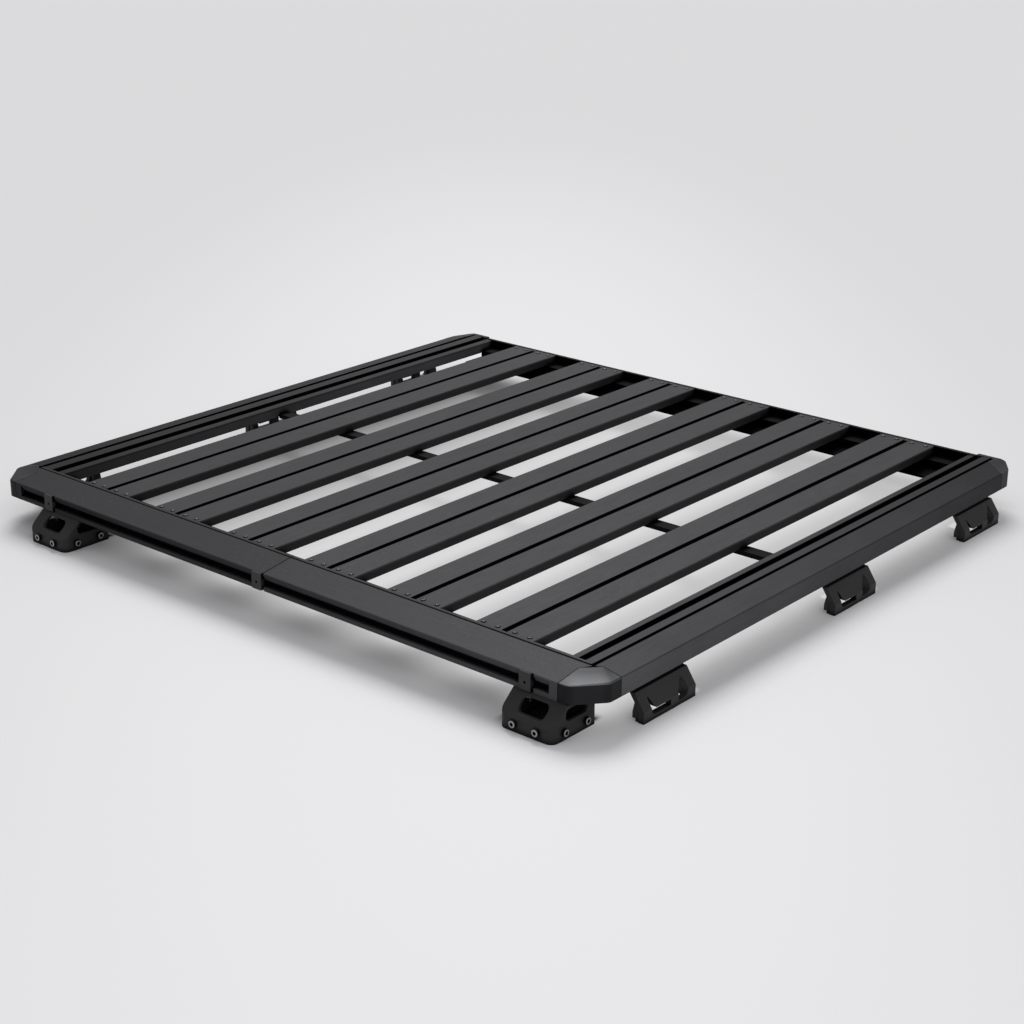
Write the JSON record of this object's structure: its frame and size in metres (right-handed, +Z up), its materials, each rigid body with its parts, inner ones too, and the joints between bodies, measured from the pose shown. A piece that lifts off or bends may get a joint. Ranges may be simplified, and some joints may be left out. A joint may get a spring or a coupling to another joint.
{
  "type": "platform roof rack",
  "caption": "Flat black platform roof rack with slotted planks in a sloped rim, cast corners and clamp feet.",
  "frame": {"origin": "on the floor under the middle of the overall box", "axes": "+X along the front rail to the right as seen from the front, +Y from the front rail to the rear along the planks, +Z up"},
  "size_m": [1.362, 1.257, 0.0869],
  "materials": {
    "coated_extrusion": "matte",
    "coated_casting": "satin",
    "coated_feet": "matte",
    "clip_black": "matte"
  },
  "bodies": {
    "root": {"plank_1": "coated_extrusion", "plank_2": "coated_extrusion", "plank_3": "coated_extrusion", "plank_4": "coated_extrusion", "plank_5": "coated_extrusion", "plank_6": "coated_extrusion", "left_side_rail": "coated_extrusion", "right_side_rail": "coated_extrusion", "front_rail_left": "coated_extrusion", "front_rail_right": "coated_extrusion", "rear_rail": "coated_extrusion", "front_left_corner": "coated_casting", "front_right_corner": "coated_casting", "rear_left_corner": "coated_casting", "rear_right_corner": "coated_casting", "centre_bar": "coated_extrusion", "left_clip": "clip_black", "middle_clip": "clip_black", "right_clip": "clip_black", "left_front_foot": "coated_feet", "left_middle_foot": "coated_feet", "left_rear_foot": "coated_feet", "right_front_foot": "coated_feet", "right_middle_foot": "coated_feet", "right_rear_foot": "coated_feet", "front_left_foot": "coated_feet", "front_right_foot": "coated_feet"}
  },
  "joints": []
}
